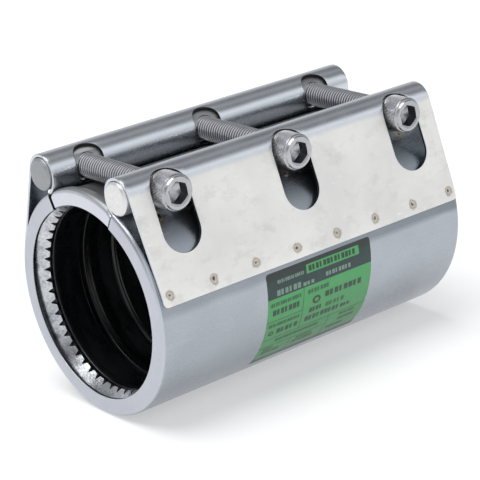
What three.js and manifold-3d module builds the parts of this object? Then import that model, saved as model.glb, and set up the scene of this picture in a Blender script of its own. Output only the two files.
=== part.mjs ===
import * as THREE from "three";
import Module from "manifold-3d";

// Grip-type pipe coupling, in millimetres.
// +X runs along the bore, +Z points up at the lock, the screw heads are at -Y. The origin is the bore's centre.

// Casing sheet
const SHEET = 1.5;
const CASING_OUTER_R = 55.8;
const CASING_INNER_R = CASING_OUTER_R - SHEET;
const CASING_LENGTH = 190;
const BEND_R = 2.5; // outside radius of the bend between wall and flange
const FLANGE_INNER_R = 47;
const GAP_HALF_DEG = 27; // the casing's open sector, each side of +Z
const HINGE_GAP = 0.15; // half of the line that splits the casing at the bottom
const HINGE_R = CASING_OUTER_R - SHEET / 2; // the casing flexes about this radius at its lowest line
const HINGE_RELIEF_DEG = 3.8; // each flange leans back this far at the split, so the flanges can close
const ARC_STEP_DEG = 3;
const BEND_STEP_DEG = 18;

// Lock: bars, loops and plates
const BAR_Y = 30;
const BAR_Z = 57.6;
const BAR_R = 8;
const BAR_CHAMFER = 0.9;
const BOLT_BAR_LENGTH = 191;
const NUT_BAR_LENGTH = 191;
const LOOP_CLEARANCE = 0.3;
const LOOP_MID_R = BAR_R + LOOP_CLEARANCE + SHEET / 2;
const LOOP_LENGTH = 188;
const LOOP_STEP_DEG = 9;
const LOOP_ENTRY_DEG = 70; // part of the loop over which the sheet closes in on the bar
const LOOP_ROOT_DEG = 6; // the folded sheet starts this far inside the wall
const PLATE_END_DEG = 10.8; // lower edge of the welded plate, above the horizontal
const PLATE_EDGE_TAPER = 1.3; // the plate is this much narrower at its lower edge, each side
const WELD_SINK = 0.1; // the welded plate reaches this far into the casing wall

// Slots for the screws
const SCREW_X = [-72, 0, 72];
const SLOT_HALF_WIDTH = 10.5;
const SLOT_LOW_S = 12; // lower end of the slot, along the plate from its tangent line
const SLOT_TOP_DEG = 22; // upper end of the slot, from the top of the loop
const SLOT_RISE = 8; // height of the slot's round top
const WINDOW_HALF_WIDTH = 7.8;
const WINDOW_TOP_DEG = 14; // upper end of the window that faces the gap
const WINDOW_RISE = 4.8; // height of the window's round top
const WINDOW_DROP = 7.5; // lower edge of that window, below the bar's axis
const ARCH_STEP_DEG = 15;
const SLOT_JOIN_Z = BAR_Z - BAR_R + 1; // the slot's round top and its lower part meet here
const LOOP_HALVES = 2; // slots and windows stay this far to their own side of the bar's axis

// Screws, M12
const SCREW_R = 6;
const HEAD_R = 9;
const HEAD_HEIGHT = 12;
const HEAD_CHAMFER = 0.7;
const SCREW_LENGTH = 75;
const SCREW_TIP_CHAMFER = 1.2;
const SOCKET_FLATS = 10;
const SOCKET_DEPTH = 6;
const HEAD_SEAT_Y = -34.9;
const SEAT_GAP = 0.3;
const SPOT_FACE_R = 9.6;
const CLEARANCE_HOLE_R = 6.6;
const TAPPED_HOLE_R = 6.3;

// Bridge plate under the gap
const BRIDGE_OUTER_R = 54;
const BRIDGE_SHEET = 1;
const BRIDGE_HALF_DEG = 44;
const BRIDGE_HALF_LENGTH = 93.2; // where it lies inside the casing's flanges
const BRIDGE_FLANGE_R = 47.6;
const BRIDGE_RIM = 0.2; // the plate's ends stand out this far beyond its middle
const BRIDGE_FLUSH_X = 1.7; // in the gap the ends stand out this much further, flush with the casing's
const BRIDGE_FLUSH_R = 1.5;
const BRIDGE_FLUSH_DEG = { nut: [25, 26.4], bolt: [26, 26.6] }; // each side of +Z, where the ends tuck in
const BRIDGE_LOW_DEG = [22.2, 26.4]; // the rim sinks between these angles to clear the loops
const BRIDGE_STEP_DEG = 0.7;
const BRIDGE_DIP = 2.9; // the plate is this much lower under the screws
const BRIDGE_DIP_DEG = 25; // each side of +Z
const BRIDGE_DIP_X = [86.5, 89.5]; // the dip starts between these distances from the middle

// Grip rings
const TEETH = 51;
const TOOTH_DEPTH = 2.5;
const RING_SHEET = 2;
const RING_BASE = [91.9, 50.9]; // distance from the middle along X, and radius
const RING_TIP = [85.8, 45.4];
const RING_SPLIT_DEG = 3;
const TOOTH_FLAT = 0.5; // share of the pitch that is flat at the tooth's tip

// Rubber sleeve: one half of its inner outline, from the end to the middle, as [distance from the middle, radius]
const SLEEVE_OUTER_R = 54;
const SLEEVE_BRIDGE_GAP = 0.3;
const SLEEVE_RECESS_DEG = 45;
const SLEEVE_END_X = 91.9;
const SLEEVE_INSIDE = [
  [84.2, 47.06],
  [84.2, 45.7],
  [80, 45.3],
  [78.5, 47.6],
  [70.5, 48.2],
  [69, 45.4],
  [65.5, 45],
  [64, 47.4],
  [51, 47.6],
  [49.2, 45.6],
  [46.5, 45.4],
  [45, 46.6],
];

// Label on the bolt side of the casing
const LABEL_X = [-33.4, 32.7];
const LABEL_SHEET = 0.25;
const LABEL_GAP = 0.1;
const LABEL_TOP_DEG = 8.5; // above the horizontal
const LABEL_BOTTOM_DEG = -48.5;

// Cutting shapes stand out this far beyond what they cut.
const CUT_MARGIN = 1;
const LATHE_SIDES = 40;
const SMALLEST_FACE = 1e-7;

const wasm = await Module();
wasm.setup();

const radians = THREE.MathUtils.degToRad;
const onCircle = (r, deg) => [
  r * Math.cos(radians(deg)),
  r * Math.sin(radians(deg)),
];

// Evenly spaced values from a to b, both included, with steps of about the given size.
function steps(a, b, size) {
  const n = Math.max(1, Math.ceil(Math.abs(b - a) / size));
  return Array.from({ length: n + 1 }, (_, i) => a + ((b - a) * i) / n);
}

// A three.js geometry as a manifold-3d solid.
function solidOf(geometry) {
  const g = geometry.index ? geometry.toNonIndexed() : geometry;
  const mesh = new wasm.Mesh({
    numProp: 3,
    vertProperties: new Float32Array(g.attributes.position.array),
    triVerts: Uint32Array.from({ length: g.attributes.position.count }, (_, i) => i),
  });
  mesh.merge();
  return new wasm.Manifold(mesh);
}

// A manifold-3d solid as a three.js geometry.
function geometryOf(solid) {
  const { vertProperties, triVerts, numProp } = solid.getMesh();
  const positions = new Float32Array((vertProperties.length / numProp) * 3);
  for (let i = 0; i < positions.length / 3; i++)
    positions.set(vertProperties.subarray(i * numProp, i * numProp + 3), i * 3);
  const g = new THREE.BufferGeometry();
  g.setAttribute("position", new THREE.BufferAttribute(positions, 3));
  g.setIndex(new THREE.BufferAttribute(triVerts, 1));
  const flat = g.toNonIndexed();
  flat.computeVertexNormals();
  return flat;
}

// The closed body swept through sections: each is a ring of [x, y, z] points, all of the same length.
// outline is one section's shape in 2D, for the end caps. A closed sweep has none.
function sweep(sections, outline, closed) {
  const n = outline.length;
  const index = [];
  const count = closed ? sections.length : sections.length - 1;
  for (let i = 0; i < count; i++) {
    const a = i * n;
    const b = ((i + 1) % sections.length) * n;
    for (let j = 0; j < n; j++) {
      const k = (j + 1) % n;
      index.push(a + j, a + k, b + k, a + j, b + k, b + j);
    }
  }
  if (!closed) {
    const points = outline.map(([x, y]) => new THREE.Vector2(x, y));
    const last = (sections.length - 1) * n;
    for (const [p, q, r] of THREE.ShapeUtils.triangulateShape(points, []))
      index.push(p, r, q, last + p, last + q, last + r);
  }
  const g = new THREE.BufferGeometry();
  g.setAttribute("position", new THREE.Float32BufferAttribute(sections.flat(2), 3));
  g.setIndex(index);
  return solidOf(g);
}

const isClockwise = (outline) =>
  THREE.ShapeUtils.area(outline.map(([x, y]) => new THREE.Vector2(x, y))) < 0;
const counterClockwise = (outline) =>
  isClockwise(outline) ? [...outline].reverse() : outline;

// A shape of [y, z] points, extruded from x0 to x1.
function alongX(outline, x0, x1) {
  const shape = counterClockwise(outline);
  return sweep(
    [x0, x1].map((x) => shape.map(([y, z]) => [x, y, z])),
    shape,
    false,
  );
}

// A shape of [x, z] points, extruded from y0 up to y1.
function alongY(outline, y0, y1) {
  const shape = counterClockwise(outline);
  return sweep(
    [y1, y0].map((y) => shape.map(([x, z]) => [x, y, z])),
    shape,
    false,
  );
}

// A shape of [x, radius] points, turned about the X axis. Angles run from +Y towards +Z.
function turnedAboutX(outline, fromDeg = 0, toDeg = 360, step = ARC_STEP_DEG) {
  const shape = counterClockwise(outline);
  const closed = toDeg - fromDeg === 360;
  const angles = steps(fromDeg, toDeg, step);
  if (closed) angles.pop();
  const sections = angles.map((deg) =>
    shape.map(([x, r]) => [x, ...onCircle(r, deg)]),
  );
  return sweep(sections, shape, closed);
}

const mirroredX = (solid) => solid.mirror([1, 0, 0]);
const mirroredY = (solid) => solid.mirror([0, 1, 0]);

// The U-shaped section of the casing's wall and its two flanges, as [x, radius] points.
function channelOutline(halfLength, outerR, sheet, bend, flangeR) {
  const innerBend = bend - sheet;
  const right = [];
  for (const deg of steps(90, 0, BEND_STEP_DEG)) {
    const [x, r] = onCircle(bend, deg);
    right.push([halfLength - bend + x, outerR - bend + r]);
  }
  right.push([halfLength, flangeR], [halfLength - sheet, flangeR]);
  for (const deg of steps(0, 90, 2 * BEND_STEP_DEG)) {
    const [x, r] = onCircle(innerBend, deg);
    right.push([
      halfLength - sheet - innerBend + x,
      outerR - sheet - innerBend + r,
    ]);
  }
  const left = right.map(([x, r]) => [-x, r]).reverse();
  return [...right, ...left];
}

// The angle of the welded plate's normal above the horizontal: the plate touches both the casing and the loop.
const BAR_DISTANCE = Math.hypot(BAR_Y, BAR_Z);
const BAR_DEG = THREE.MathUtils.radToDeg(Math.atan2(BAR_Z, BAR_Y));
const PLATE_MID_R = CASING_OUTER_R + SHEET / 2;
const TANGENT_DEG =
  BAR_DEG -
  THREE.MathUtils.radToDeg(
    Math.acos((PLATE_MID_R - LOOP_MID_R) / BAR_DISTANCE),
  );

// The middle line of the folded sheet: off the casing's wall, round the bar, down as a plate and onto the casing.
// Points are [y, z] on the +Y side.
function foldMiddle() {
  const wallR = CASING_OUTER_R - SHEET / 2;
  const entryR = BAR_DISTANCE - wallR;
  const line = steps(BAR_DEG - LOOP_ROOT_DEG, BAR_DEG, ARC_STEP_DEG).map((deg) =>
    onCircle(wallR, deg),
  );
  const start = BAR_DEG + 180;
  const end = TANGENT_DEG;
  for (const deg of steps(start, end, LOOP_STEP_DEG).slice(1)) {
    const closing = THREE.MathUtils.smoothstep(start - deg, 0, LOOP_ENTRY_DEG);
    const [y, z] = onCircle(
      THREE.MathUtils.lerp(entryR, LOOP_MID_R, closing),
      deg,
    );
    line.push([BAR_Y + y, BAR_Z + z]);
  }
  for (const deg of steps(TANGENT_DEG, PLATE_END_DEG, ARC_STEP_DEG))
    line.push(onCircle(PLATE_MID_R, deg));
  return line;
}

// A sheet's outline from its middle line.
function thickened(line, thickness) {
  const side = (sign) =>
    line.map(([y, z], i) => {
      const [ya, za] = line[Math.max(i - 1, 0)];
      const [yb, zb] = line[Math.min(i + 1, line.length - 1)];
      const length = Math.hypot(yb - ya, zb - za);
      const offset = (sign * thickness) / 2;
      return [y - ((zb - za) / length) * offset, z + ((yb - ya) / length) * offset];
    });
  return [...side(1), ...side(-1).reverse()];
}

// The thin body that joins the welded part of the plate to the casing's wall.
function weldLayer() {
  const degs = steps(TANGENT_DEG, PLATE_END_DEG, ARC_STEP_DEG);
  const outline = [
    ...degs.map((deg) => onCircle(PLATE_MID_R, deg)),
    ...degs.reverse().map((deg) => onCircle(CASING_OUTER_R - WELD_SINK, deg)),
  ];
  const half = LOOP_LENGTH / 2 - PLATE_EDGE_TAPER;
  return alongX(outline, -half, half);
}

// Wedges that narrow the plate towards its lower edge.
function plateTaperCut() {
  const half = LOOP_LENGTH / 2;
  const topZ = BAR_Z - BAR_R;
  const [, lowZ] = onCircle(PLATE_MID_R, PLATE_END_DEG);
  const outline = [
    [half, topZ],
    [half + CUT_MARGIN, topZ],
    [half + CUT_MARGIN, 0],
    [half - PLATE_EDGE_TAPER, 0],
    [half - PLATE_EDGE_TAPER, lowZ],
  ];
  const wedge = alongY(outline, BAR_Y, CASING_OUTER_R + 2 * SHEET);
  return wedge.add(mirroredX(wedge));
}

// The half ellipse at the top of a slot, with straight sides down to a flat lower edge, as [x, z] points.
function archOutline(x, halfWidth, rise, topZ, lowZ) {
  const points = steps(0, 180, ARCH_STEP_DEG).map((deg) => {
    const [across, up] = onCircle(1, deg);
    return [x + across * halfWidth, topZ - rise + up * rise];
  });
  return [...points, [x - halfWidth, lowZ], [x + halfWidth, lowZ]];
}

// The cut for one screw through the outside of the loop and down the plate, on the +Y side.
function slotCut(x) {
  const topZ =
    BAR_Z + (LOOP_MID_R + SHEET / 2) * Math.cos(radians(SLOT_TOP_DEG));
  const upper = alongY(
    archOutline(x, SLOT_HALF_WIDTH, SLOT_RISE, topZ, SLOT_JOIN_Z),
    BAR_Y + LOOP_HALVES,
    BAR_Y + 2 * BAR_R,
  );
  const [ny, nz] = onCircle(1, TANGENT_DEG);
  const barS = BAR_Z * ny - BAR_Y * nz;
  const low = SLOT_LOW_S + SLOT_HALF_WIDTH;
  const stadium = [
    ...steps(180, 360, ARCH_STEP_DEG).map((deg) => {
      const [across, along] = onCircle(SLOT_HALF_WIDTH, deg);
      return [x + across, low + along];
    }),
    [x + SLOT_HALF_WIDTH, barS],
    [x - SLOT_HALF_WIDTH, barS],
  ];
  const atDepth = (depth) =>
    stadium.map(([across, s]) => [
      across,
      depth * ny - s * nz,
      depth * nz + s * ny,
    ]);
  const lower = sweep(
    [CASING_OUTER_R + 3 * SHEET, CASING_OUTER_R - SHEET / 2].map(atDepth),
    stadium,
    false,
  );
  return upper.add(lower);
}

// The cut for one screw through the side of the loop that faces the gap, on the +Y side.
function windowCut(x) {
  const topZ =
    BAR_Z + (LOOP_MID_R + SHEET / 2) * Math.cos(radians(WINDOW_TOP_DEG));
  return alongY(
    archOutline(x, WINDOW_HALF_WIDTH, WINDOW_RISE, topZ, BAR_Z - WINDOW_DROP),
    BAR_Y - 2 * BAR_R,
    BAR_Y - LOOP_HALVES,
  );
}

// The wedge that keeps the two halves' flanges apart as they turn about the split, on the +Y side.
function hingeRelief() {
  const topZ = CUT_MARGIN - FLANGE_INNER_R;
  const lean = Math.tan(radians(HINGE_RELIEF_DEG));
  const outline = [
    [0, -HINGE_R],
    [lean * (topZ + HINGE_R), topZ],
    [0, topZ],
  ];
  const half = CASING_LENGTH / 2 + CUT_MARGIN;
  return alongX(outline, -half, half);
}

// Half of the casing, on the +Y side: wall, flanges, loop and welded plate.
function casingHalf() {
  const wall = turnedAboutX(
    channelOutline(
      CASING_LENGTH / 2,
      CASING_OUTER_R,
      SHEET,
      BEND_R,
      FLANGE_INNER_R,
    ),
    -90 + THREE.MathUtils.radToDeg(HINGE_GAP / CASING_INNER_R),
    90 - GAP_HALF_DEG,
  );
  const fold = alongX(
    thickened(foldMiddle(), SHEET),
    -LOOP_LENGTH / 2,
    LOOP_LENGTH / 2,
  ).subtract(plateTaperCut());
  const cuts = SCREW_X.flatMap((x) => [slotCut(x), windowCut(x)]);
  return wall
    .subtract(hingeRelief())
    .add(weldLayer())
    .add(fold.subtract(wasm.Manifold.union(cuts)));
}

// A round bar in a loop, on the +Y side, before its holes.
function roundBar(length) {
  const half = length / 2;
  const outline = [
    [-half, 0],
    [-half, BAR_R - BAR_CHAMFER],
    [-half + BAR_CHAMFER, BAR_R],
    [half - BAR_CHAMFER, BAR_R],
    [half, BAR_R - BAR_CHAMFER],
    [half, 0],
  ];
  return turnedRod(outline);
}

// A rod about the X axis, moved to the bar's place. Its outline starts and ends on the axis.
function turnedRod(outline) {
  const points = outline.map(([x, r]) => new THREE.Vector2(r, x));
  const rod = new THREE.LatheGeometry(points, LATHE_SIDES).rotateZ(-Math.PI / 2);
  return outward(rod).translate([0, BAR_Y, BAR_Z]);
}

// A screw's turned outline about the Y axis at [x, BAR_Z]. Its outline starts and ends on the axis.
function turnedScrew(outline, x) {
  const points = outline.map(([y, r]) => new THREE.Vector2(r, y));
  return outward(new THREE.LatheGeometry(points, LATHE_SIDES)).translate([x, 0, BAR_Z]);
}

// A lathe geometry as a solid, with its faces turned to point out.
function outward(lathe) {
  const welded = lathe.clone().toNonIndexed();
  const p = welded.attributes.position;
  const keep = [];
  for (let i = 0; i < p.count; i += 3) {
    const [a, b, c] = [0, 1, 2].map((k) =>
      new THREE.Vector3().fromBufferAttribute(p, i + k),
    );
    const face = new THREE.Triangle(a, b, c);
    if (face.getArea() > SMALLEST_FACE) keep.push(a, b, c);
  }
  const g = new THREE.BufferGeometry().setFromPoints(keep);
  let solid = solidOf(g);
  if (solid.volume() < 0) {
    for (let i = 0; i < keep.length; i += 3)
      [keep[i + 1], keep[i + 2]] = [keep[i + 2], keep[i + 1]];
    solid = solidOf(new THREE.BufferGeometry().setFromPoints(keep));
  }
  return solid;
}

function cylinderAlongY(x, r, y0, y1) {
  return turnedScrew(
    [
      [y0, 0],
      [y0, r],
      [y1, r],
      [y1, 0],
    ],
    x,
  );
}

function boltBar() {
  const cuts = SCREW_X.flatMap((x) => [
    cylinderAlongY(x, CLEARANCE_HOLE_R, -BAR_Y - 2 * BAR_R, -BAR_Y + 2 * BAR_R),
    cylinderAlongY(x, SPOT_FACE_R, -BAR_Y - 2 * BAR_R, HEAD_SEAT_Y + SEAT_GAP),
  ]);
  return mirroredY(roundBar(BOLT_BAR_LENGTH)).subtract(
    wasm.Manifold.union(cuts),
  );
}

function nutBar() {
  const cuts = SCREW_X.map((x) =>
    cylinderAlongY(x, TAPPED_HOLE_R, BAR_Y - 2 * BAR_R, BAR_Y + 2 * BAR_R),
  );
  return roundBar(NUT_BAR_LENGTH).subtract(wasm.Manifold.union(cuts));
}

function screw(x) {
  const faceY = HEAD_SEAT_Y - HEAD_HEIGHT;
  const tipY = HEAD_SEAT_Y + SCREW_LENGTH;
  const body = turnedScrew(
    [
      [faceY, 0],
      [faceY, HEAD_R - HEAD_CHAMFER],
      [faceY + HEAD_CHAMFER, HEAD_R],
      [HEAD_SEAT_Y, HEAD_R],
      [HEAD_SEAT_Y, SCREW_R],
      [tipY - SCREW_TIP_CHAMFER, SCREW_R],
      [tipY, SCREW_R - SCREW_TIP_CHAMFER],
      [tipY, 0],
    ],
    x,
  );
  const corner = SOCKET_FLATS / Math.sqrt(3);
  const hexagon = [0, 60, 120, 180, 240, 300].map((deg) => {
    const [across, up] = onCircle(corner, deg);
    return [x + across, BAR_Z + up];
  });
  return body.subtract(alongY(hexagon, faceY - CUT_MARGIN, faceY + SOCKET_DEPTH));
}

// The outer radius of the bridge plate's middle at an angle: lower under the screws than under the casing.
function bridgeMiddleR(deg) {
  const share = Math.min(Math.abs(deg - 90) / BRIDGE_DIP_DEG, 1);
  const dip = BRIDGE_DIP * Math.cos((share * Math.PI) / 2) ** 2;
  return BRIDGE_OUTER_R - BRIDGE_RIM - dip;
}

// The bridge plate's outline at an angle, as [x, radius] points. Angles run from +Y towards +Z.
function bridgeOutline(deg) {
  const low = bridgeMiddleR(deg);
  const away = Math.abs(deg - 90);
  const tucked = BRIDGE_FLUSH_DEG[deg < 90 ? "nut" : "bolt"];
  const endX =
    BRIDGE_HALF_LENGTH +
    BRIDGE_FLUSH_X * (1 - THREE.MathUtils.smoothstep(away, ...tucked));
  const rimR =
    BRIDGE_OUTER_R +
    BRIDGE_FLUSH_R * (1 - THREE.MathUtils.smoothstep(away, ...BRIDGE_LOW_DEG));
  const [dipX, rimX] = BRIDGE_DIP_X;
  const right = [
    [dipX, low],
    [rimX, rimR],
    [endX - BRIDGE_SHEET, rimR],
    [endX, rimR - BRIDGE_SHEET],
    [endX, BRIDGE_FLANGE_R],
    [endX - BRIDGE_SHEET, BRIDGE_FLANGE_R],
    [endX - BRIDGE_SHEET, rimR - BRIDGE_SHEET],
    [rimX, rimR - BRIDGE_SHEET],
    [dipX, low - BRIDGE_SHEET],
  ];
  return [...right.map(([x, r]) => [-x, r]), ...right.reverse()];
}

// The angles of the bridge plate's sections: closer together where its ends change.
function bridgeAngles() {
  const side = [
    ...steps(0, BRIDGE_LOW_DEG[0], ARC_STEP_DEG).slice(1),
    ...steps(BRIDGE_LOW_DEG[0], GAP_HALF_DEG, BRIDGE_STEP_DEG).slice(1),
    ...steps(GAP_HALF_DEG, BRIDGE_HALF_DEG, ARC_STEP_DEG).slice(1),
  ];
  return [...side.map((away) => 90 - away).reverse(), 90, ...side.map((away) => 90 + away)];
}

function bridgePlate() {
  const degs = bridgeAngles();
  const sections = degs.map((deg) =>
    bridgeOutline(deg).map(([x, r]) => [x, ...onCircle(r, deg)]),
  );
  return sweep(sections, bridgeOutline(degs[0]), false);
}

function sleeve() {
  const inside = [
    ...SLEEVE_INSIDE,
    ...SLEEVE_INSIDE.map(([x, r]) => [-x, r]).reverse(),
  ];
  const whole = turnedAboutX([
    [SLEEVE_END_X, SLEEVE_OUTER_R],
    ...inside,
    [-SLEEVE_END_X, SLEEVE_OUTER_R],
  ]);
  const recessOutline = (deg) => {
    const floor = bridgeMiddleR(deg) - BRIDGE_SHEET - SLEEVE_BRIDGE_GAP;
    return [
      [SLEEVE_END_X + CUT_MARGIN, floor],
      [SLEEVE_END_X + CUT_MARGIN, SLEEVE_OUTER_R + CUT_MARGIN],
      [-SLEEVE_END_X - CUT_MARGIN, SLEEVE_OUTER_R + CUT_MARGIN],
      [-SLEEVE_END_X - CUT_MARGIN, floor],
    ];
  };
  const degs = steps(
    90 - SLEEVE_RECESS_DEG,
    90 + SLEEVE_RECESS_DEG,
    ARC_STEP_DEG,
  );
  const recess = sweep(
    degs.map((deg) =>
      recessOutline(deg).map(([x, r]) => [x, ...onCircle(r, deg)]),
    ),
    recessOutline(90),
    false,
  );
  return whole.subtract(recess);
}

// A toothed cone, split at the top, at the -X end.
function gripRing() {
  const [bx, br] = RING_BASE;
  const [tx, tr] = RING_TIP;
  const length = Math.hypot(bx - tx, br - tr);
  const along = [(bx - tx) / length, (tr - br) / length];
  const back = [-along[1] * RING_SHEET, along[0] * RING_SHEET];
  const section = (cut) => {
    const front = [
      [-bx, br],
      [-tx - along[0] * cut, tr - along[1] * cut],
    ];
    return [
      ...front,
      ...front.map(([x, r]) => [x + back[0], r + back[1]]).reverse(),
    ];
  };
  const from = 90 + RING_SPLIT_DEG / 2;
  const sweepDeg = 360 - RING_SPLIT_DEG;
  const sections = [];
  const addSection = (share, cut) =>
    sections.push(
      section(cut).map(([x, r]) => [
        x,
        ...onCircle(r, from + (share * sweepDeg) / TEETH),
      ]),
    );
  for (let i = 0; i < TEETH; i++) {
    addSection(i, TOOTH_DEPTH);
    addSection(i + 0.5 - TOOTH_FLAT / 2, 0);
    addSection(i + 0.5 + TOOTH_FLAT / 2, 0);
  }
  addSection(TEETH, TOOTH_DEPTH);
  return sweep(sections, section(TOOTH_DEPTH), false);
}

function label() {
  const inner = CASING_OUTER_R + LABEL_GAP;
  const [x0, x1] = LABEL_X;
  return turnedAboutX(
    [
      [x0, inner],
      [x1, inner],
      [x1, inner + LABEL_SHEET],
      [x0, inner + LABEL_SHEET],
    ],
    180 - LABEL_TOP_DEG,
    180 - LABEL_BOTTOM_DEG,
  );
}

const STAINLESS = { color: 0xaeb3b6, metalness: 0.9, roughness: 0.38 };
const SCREW_STEEL = { color: 0xb4b5b3, metalness: 0.95, roughness: 0.3 };
const BAR_STEEL = { color: 0x9c9c98, metalness: 0.85, roughness: 0.5 };
const RING_STEEL = { color: 0x8f9294, metalness: 0.9, roughness: 0.35 };
const RUBBER = { color: 0x121213, metalness: 0, roughness: 0.55 };
const FOIL = { color: 0x55b862, metalness: 0, roughness: 0.5 };

const coupling = new THREE.Group();
coupling.name = "pipe_coupling";

function addPiece(name, solid, look) {
  const mesh = new THREE.Mesh(
    geometryOf(solid),
    new THREE.MeshStandardMaterial(look),
  );
  mesh.name = name;
  coupling.add(mesh);
}

const half = casingHalf();
const ring = gripRing();
addPiece("casing_bolt_side", mirroredY(half), STAINLESS);
addPiece("casing_nut_side", half, STAINLESS);
addPiece("bridge_plate", bridgePlate(), STAINLESS);
addPiece("seal_sleeve", sleeve(), RUBBER);
addPiece("grip_ring_front", ring, RING_STEEL);
addPiece("grip_ring_rear", mirroredX(ring), RING_STEEL);
addPiece("bolt_bar", boltBar(), BAR_STEEL);
addPiece("nut_bar", nutBar(), BAR_STEEL);
["front", "middle", "rear"].forEach((place, i) =>
  addPiece(`bolt_${place}`, screw(SCREW_X[i]), SCREW_STEEL),
);
addPiece("label", label(), FOIL);

export default coupling;
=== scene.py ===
"""The pipe coupling's visual model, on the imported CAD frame.

+X runs along the bore and +Z points up at the lock.

Shapes are worked out in millimetres and written to the meshes in metres.
"""
import math

import bmesh
import bpy
from mathutils import Matrix, Vector
from mathutils.geometry import delaunay_2d_cdt


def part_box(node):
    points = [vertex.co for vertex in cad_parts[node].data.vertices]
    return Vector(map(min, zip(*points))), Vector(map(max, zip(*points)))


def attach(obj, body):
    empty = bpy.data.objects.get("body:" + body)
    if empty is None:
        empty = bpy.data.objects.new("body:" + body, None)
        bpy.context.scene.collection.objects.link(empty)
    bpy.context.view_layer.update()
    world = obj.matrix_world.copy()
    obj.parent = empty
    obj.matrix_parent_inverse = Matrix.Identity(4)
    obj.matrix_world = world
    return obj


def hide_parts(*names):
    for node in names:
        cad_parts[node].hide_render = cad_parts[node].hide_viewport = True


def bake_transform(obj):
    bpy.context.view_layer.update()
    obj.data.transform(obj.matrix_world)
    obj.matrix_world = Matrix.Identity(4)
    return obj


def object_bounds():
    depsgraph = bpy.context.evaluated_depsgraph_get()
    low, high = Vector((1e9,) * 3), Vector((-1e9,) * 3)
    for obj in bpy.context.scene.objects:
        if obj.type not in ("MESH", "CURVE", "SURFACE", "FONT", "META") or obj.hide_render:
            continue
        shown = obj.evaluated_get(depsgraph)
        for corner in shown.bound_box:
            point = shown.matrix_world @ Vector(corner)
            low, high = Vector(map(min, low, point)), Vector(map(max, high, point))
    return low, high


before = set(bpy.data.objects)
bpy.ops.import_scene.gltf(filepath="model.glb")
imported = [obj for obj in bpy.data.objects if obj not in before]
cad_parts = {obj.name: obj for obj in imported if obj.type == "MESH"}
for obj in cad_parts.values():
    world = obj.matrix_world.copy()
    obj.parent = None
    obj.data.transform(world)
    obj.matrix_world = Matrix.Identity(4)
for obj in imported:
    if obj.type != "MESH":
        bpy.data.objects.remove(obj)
CAD_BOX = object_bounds()
MM = 0.001


def span(node, axis):
    """A CAD node's lowest and highest coordinate along an axis, in millimetres."""
    low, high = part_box(node)
    return low[axis] / MM, high[axis] / MM


def middle(node, axis):
    return sum(span(node, axis)) / 2


def half_span(node, axis):
    low, high = span(node, axis)
    return (high - low) / 2


# Casing
SHEET = 1.5
EDGE = 0.25  # rounding of a cut sheet edge
CASING_R = -span("casing_nut_side", 2)[0]
CASING_HALF = span("casing_nut_side", 0)[1]
BEND_R = 2.5
FLANGE_INNER_R = 47.0
FLANGE_ZONE = 1.2  # faces this near the casing's ends belong to its flanges

# Lock
BAR_Y = middle("nut_bar", 1)
BAR_Z = middle("nut_bar", 2)
BAR_R = half_span("nut_bar", 2)
LOOP_MID_R = BAR_R + 0.3 + SHEET / 2
LOOP_HALF = 94.0
PLATE_MID_R = CASING_R + SHEET / 2
PLATE_END_DEG = 10.8
PLATE_TAPER = 1.3
BAR_DISTANCE = math.hypot(BAR_Y, BAR_Z)
BAR_DEG = math.degrees(math.atan2(BAR_Z, BAR_Y))
TANGENT_DEG = BAR_DEG - math.degrees(math.acos((PLATE_MID_R - LOOP_MID_R) / BAR_DISTANCE))
LOOP_ENTRY_DEG = 70.0

# Slots, windows and welds
SCREWS = ("bolt_front", "bolt_middle", "bolt_rear")
SLOT_HALF = 10.5
SLOT_TOP_DEG = 22.0
SLOT_LOW_S = 12.0
WINDOW_HALF = 7.8
WINDOW_TOP_DEG = 14.0
WINDOW_DROP = 6.8
WELD_COUNT = 8
WELD_PITCH = 25.28
WELD_BELOW_TANGENT = 3.1
WELD_R = 2.9
GRID_X, GRID_V = 3.2, 1.05  # spacing of the folded sheet's vertices
LOOP_WELD_X = 1.3  # the wall also shows the marks of the loops' own welds
LOOP_WELD_Z = 44.6

# Screws, M12
THREAD_PITCH = 1.75
THREAD_DEPTH = 0.95
CREST_SHARE = 0.16  # of half a pitch
FLANK_SHARE = 0.66
TIP_CHAMFER = 1.2
SCREW_R = 6.0
HEAD_R = half_span("bolt_middle", 0)
HEAD_Y = span("bolt_middle", 1)[0]
HEAD_HEIGHT = 12.0
TIP_Y = span("bolt_middle", 1)[1]
SOCKET_FLAT_R = 5.0
SOCKET_TURN_DEG = 22.0
SOCKET_DEPTH = 6.0
KNURLS = 84
KNURL_DEPTH = 0.22
KNURL_R = HEAD_R - 0.15
# The socket, root and flank materials are painted shade and the crest one a painted highlight.
SCREW, SOCKET_SHADE, KNURLED, ROOT_SHADE, FLANK_SHADE, CREST_HIGHLIGHT = range(6)  # its materials
HOLE_CHAMFER = 0.5
BOLT_HOLE_R = 6.6
NUT_HOLE_R = 6.2
SPOT_FACE_R = 9.6
SEAT_GAP = 0.15  # between a screw's head and its spot face


# ---- mesh helpers

def polar(radius, deg):
    return radius * math.cos(math.radians(deg)), radius * math.sin(math.radians(deg))


def arc(x, y, radius, degs):
    """Points at these angles on a circle about (x, y)."""
    return [(x + across, y + up) for across, up in (polar(radius, deg) for deg in degs)]


def steps(a, b, size):
    count = max(1, math.ceil(abs(b - a) / size))
    return [a + (b - a) * i / count for i in range(count + 1)]


def full_turn(size):
    """The angles of a whole circle in steps of this size, each one once."""
    return steps(0, 360, size)[:-1]


def heading(a, b):
    """The unit vector from a to b in 2D."""
    length = math.dist(a, b)
    return (b[0] - a[0]) / length, (b[1] - a[1]) / length


def smooth(t):
    t = min(max(t, 0.0), 1.0)
    return t * t * (3 - 2 * t)


def mix(a, b, t):
    return a + (b - a) * t


def about_x(outline, deg):
    """An outline of (x, radius) points, at this angle about the X axis from +Y towards +Z."""
    return [(x, *polar(r, deg)) for x, r in outline]


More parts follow.
